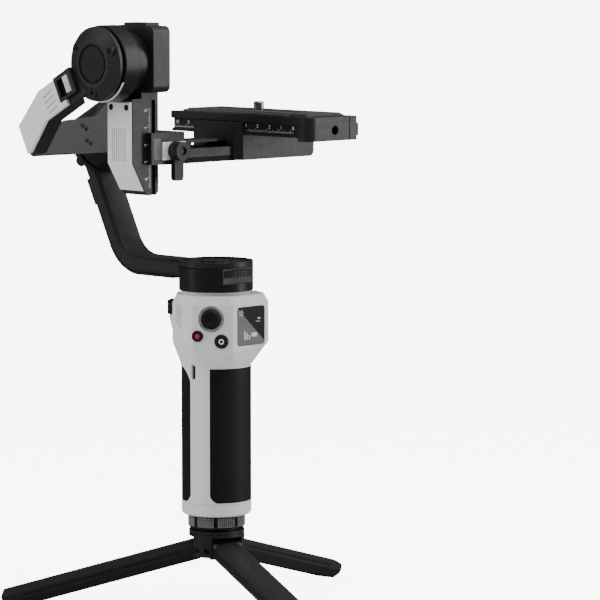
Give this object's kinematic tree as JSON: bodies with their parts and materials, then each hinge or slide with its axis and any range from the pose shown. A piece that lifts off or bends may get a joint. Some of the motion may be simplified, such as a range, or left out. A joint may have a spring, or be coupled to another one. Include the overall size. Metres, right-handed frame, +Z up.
{
  "type": "camera gimbal",
  "caption": "Handheld three-axis camera stabiliser with motorised pan, roll and tilt arms, a control handle, a quick-release camera plate and a folding mini tripod.",
  "frame": {"origin": "on the axis of the camera screw, in the middle of its standing thread; the pan axis is 24 mm to the -X side and 12 mm to the +Y side of it, and the floor is 302 mm below", "axes": "+Z up along the pan axis and the camera screw; the camera looks along -Y; the tilt motor is on the -X side"},
  "size_m": [0.2276, 0.2473, 0.354],
  "materials": {
    "grey_shell": "satin light grey",
    "black_plastic": "fine matt grain",
    "black_alloy": "satin black coating",
    "black_metal": "smooth black anodised",
    "rubber": "matt",
    "steel": "turned",
    "bearing_steel": "ground",
    "laminations": "stacked sheets",
    "silver_metal": "satin",
    "screen": "polished dark cover",
    "board": "coated board",
    "cells": "shrink sleeve"
  },
  "bodies": {
    "handle": {"handle_shell_front": "grey_shell", "handle_shell_rear": "grey_shell", "handle_base_cap": "grey_shell", "grip_pad_right": "rubber", "grip_pad_left": "rubber", "screen_glass": "screen", "main_board": "board", "battery_cells": "cells", "usb_socket": "steel", "base_socket": "steel", "pan_motor_housing": "black_metal", "pan_stator": "laminations", "pan_bearings": "bearing_steel", "handle_screws": "steel", "tripod_hub": "black_plastic", "leg_pins": "steel"},
    "mount_ring": {"mount_ring": "black_metal"},
    "leg_1": {"leg_1": "black_plastic", "leg_pad_1": "rubber"},
    "leg_2": {"leg_2": "black_plastic", "leg_pad_2": "rubber"},
    "leg_3": {"leg_3": "black_plastic", "leg_pad_3": "rubber"},
    "joystick_cradle": {"joystick_cradle": "black_metal"},
    "joystick": {"joystick": "rubber"},
    "record_button": {"record_button": "black_plastic"},
    "mode_button": {"mode_button": "black_plastic"},
    "trigger": {"trigger": "black_plastic"},
    "pan_lock_slider": {"pan_lock_slider": "black_plastic"},
    "pan_arm": {"pan_arm": "black_alloy", "pan_arm_cover": "black_plastic", "pan_rotor": "steel", "roll_motor_base": "black_metal", "roll_stator": "laminations", "roll_bearings": "bearing_steel", "pan_arm_screws": "steel"},
    "roll_lock_slider": {"roll_lock_slider": "silver_metal"},
    "roll_arm": {"roll_arm": "black_alloy", "roll_arm_cover": "grey_shell", "roll_motor_can": "black_metal", "roll_rotor": "steel", "tilt_motor_base": "black_metal", "tilt_stator": "laminations", "tilt_bearings": "bearing_steel", "roll_arm_screws": "steel"},
    "tilt_lock_slider": {"tilt_lock_slider": "silver_metal"},
    "tilt_arm": {"tilt_arm": "black_alloy", "tilt_arm_cover": "grey_shell", "tilt_motor_can": "black_metal", "tilt_rotor": "steel", "tilt_arm_screws": "steel"},
    "cross_arm": {"cross_arm": "black_alloy", "clamp_jaw": "silver_metal"},
    "clamp_lever": {"clamp_lever": "black_alloy"},
    "saddle": {"saddle": "black_alloy"},
    "saddle_knob": {"saddle_knob": "black_alloy"},
    "plate_lever": {"plate_lever": "black_alloy"},
    "camera_plate": {"camera_plate": "black_metal", "plate_pad": "rubber"},
    "camera_screw": {"camera_screw": "steel"}
  },
  "joints": [
    {"name": "mount_ring_turn", "type": "hinge", "parent": "handle", "child": "mount_ring", "pos_m": [-0.024, 0.012, -0.247], "axis": [0, 0, 1], "continuous": true},
    {"name": "leg_1_fold", "type": "hinge", "parent": "handle", "child": "leg_1", "pos_m": [-0.01331, 0.01459, -0.26442], "axis": [-0.2351, 0.972, 0], "range_deg": [0, 74.5]},
    {"name": "leg_2_fold", "type": "hinge", "parent": "handle", "child": "leg_2", "pos_m": [-0.03159, 0.01997, -0.26442], "axis": [-0.7242, -0.6896, 0], "range_deg": [0, 74.5]},
    {"name": "leg_3_fold", "type": "hinge", "parent": "handle", "child": "leg_3", "pos_m": [-0.02711, 0.00145, -0.26442], "axis": [0.9593, -0.2823, 0], "range_deg": [0, 74.5]},
    {"name": "stick_up_down", "type": "hinge", "parent": "handle", "child": "joystick_cradle", "pos_m": [-0.03909, -0.00099, -0.1235], "axis": [0.6293, -0.7771, 0], "range_deg": [-10, 10]},
    {"name": "stick_left_right", "type": "hinge", "parent": "joystick_cradle", "child": "joystick", "pos_m": [-0.03909, -0.00099, -0.1235], "axis": [0, 0, 1], "range_deg": [-10, 10]},
    {"name": "record_press", "type": "slide", "parent": "handle", "child": "record_button", "axis": [0.7771, 0.6293, 0], "range_m": [0, 0.0006]},
    {"name": "mode_press", "type": "slide", "parent": "handle", "child": "mode_button", "axis": [0.7771, 0.6293, 0], "range_m": [0, 0.0006]},
    {"name": "trigger_pull", "type": "slide", "parent": "handle", "child": "trigger", "axis": [0.6018, -0.7986, 0], "range_m": [0, 0.002]},
    {"name": "pan_lock_slide", "type": "slide", "parent": "handle", "child": "pan_lock_slider", "axis": [0, 0, -1], "range_m": [0, 0.003]},
    {"name": "pan_turn", "type": "hinge", "parent": "handle", "child": "pan_arm", "pos_m": [-0.024, 0.012, -0.102], "axis": [0, 0, 1], "continuous": true, "stiffness_Nm_per_rad": 15},
    {"name": "roll_lock_slide", "type": "slide", "parent": "pan_arm", "child": "roll_lock_slider", "axis": [1, 0, 0], "range_m": [-0.0035, 0.0035]},
    {"name": "roll_turn", "type": "hinge", "parent": "pan_arm", "child": "roll_arm", "pos_m": [-0.024, 0.012, 0.0285], "axis": [0, -0.891, 0.454], "range_deg": [-40, 40], "stiffness_Nm_per_rad": 15},
    {"name": "tilt_lock_slide", "type": "slide", "parent": "roll_arm", "child": "tilt_lock_slider", "axis": [0, 0.891, -0.454], "range_m": [0, 0.005]},
    {"name": "tilt_turn", "type": "hinge", "parent": "roll_arm", "child": "tilt_arm", "pos_m": [-0.024, 0.012, 0.0285], "axis": [1, 0, 0], "range_deg": [-45, 60], "stiffness_Nm_per_rad": 15},
    {"name": "height_slide", "type": "slide", "parent": "tilt_arm", "child": "cross_arm", "axis": [0, 0, 1], "range_m": [-0.015, 0.015], "stiffness_N_per_m": 5000},
    {"name": "clamp_lever_turn", "type": "hinge", "parent": "cross_arm", "child": "clamp_lever", "pos_m": [-0.0705, -0.0031, -0.0228], "axis": [0, -1, 0], "range_deg": [0, 90]},
    {"name": "saddle_slide", "type": "slide", "parent": "cross_arm", "child": "saddle", "axis": [1, 0, 0], "range_m": [-0.025, 0.005], "stiffness_N_per_m": 5000},
    {"name": "saddle_knob_turn", "type": "hinge", "parent": "saddle", "child": "saddle_knob", "pos_m": [0.012, 0.032, -0.025], "axis": [0, 1, 0], "range_deg": [0, 120]},
    {"name": "plate_lever_turn", "type": "hinge", "parent": "saddle", "child": "plate_lever", "pos_m": [0.0295, 0.012, -0.006], "axis": [0, 0, 1], "range_deg": [-60, 0]},
    {"name": "plate_slide", "type": "slide", "parent": "saddle", "child": "camera_plate", "axis": [0, 1, 0], "range_m": [-0.025, 0.018], "stiffness_N_per_m": 5000},
    {"name": "camera_screw_turn", "type": "hinge", "parent": "camera_plate", "child": "camera_screw", "pos_m": [0, 0, -0.006], "axis": [0, 0, 1], "continuous": true}
  ]
}
